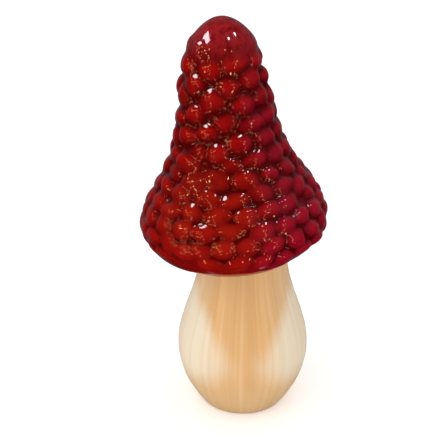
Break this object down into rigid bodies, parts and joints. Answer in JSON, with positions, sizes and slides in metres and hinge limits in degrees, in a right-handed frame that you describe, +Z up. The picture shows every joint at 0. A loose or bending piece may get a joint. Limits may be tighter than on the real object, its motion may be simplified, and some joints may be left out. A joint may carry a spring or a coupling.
{
  "type": "ceramic mushroom ornament",
  "caption": "Free-standing ceramic mushroom ornament: a bottle-shaped cream stem carries a loose leaning cone cap covered in rows of red glazed pellets; the cap turns and lifts off.",
  "frame": {"origin": "middle of the foot ring, on the table", "axes": "+Z up along the stem, front towards -Y, the cap leans towards -X"},
  "size_m": [0.1154, 0.1158, 0.2501],
  "materials": {
    "red_glaze": "deep red glossy glaze, darker where it pools in the grooves",
    "cream_glaze": "glossy cream and tan glaze with fine upright streaks",
    "bare_clay": "bare fired clay, matt",
    "felt": "pressed wool felt"
  },
  "bodies": {
    "stem": {"stem_bulb": "cream_glaze", "stem_neck": "cream_glaze"},
    "seat_ring": {"felt_seat_ring": "felt"},
    "cap": {"cap_cone": "red_glaze", "cap_tip_button": "red_glaze", "cap_rim_coil": "red_glaze", "cap_floor": "bare_clay", "cap_socket_collar": "bare_clay", "pellet_row_01": "red_glaze", "pellet_row_02": "red_glaze", "pellet_row_03": "red_glaze", "pellet_row_04": "red_glaze", "pellet_row_05": "red_glaze", "pellet_row_06": "red_glaze", "pellet_row_07": "red_glaze", "pellet_row_08": "red_glaze", "pellet_row_09": "red_glaze", "pellet_row_10": "red_glaze", "pellet_row_11": "red_glaze", "pellet_row_12": "red_glaze"}
  },
  "joints": [
    {"name": "cap_turn", "type": "hinge", "parent": "stem", "child": "seat_ring", "pos_m": [0, 0, 0.12], "axis": [0, 0, 1], "continuous": true},
    {"name": "cap_lift", "type": "slide", "parent": "seat_ring", "child": "cap", "axis": [0, 0, 1], "range_m": [0, 0.05]}
  ]
}
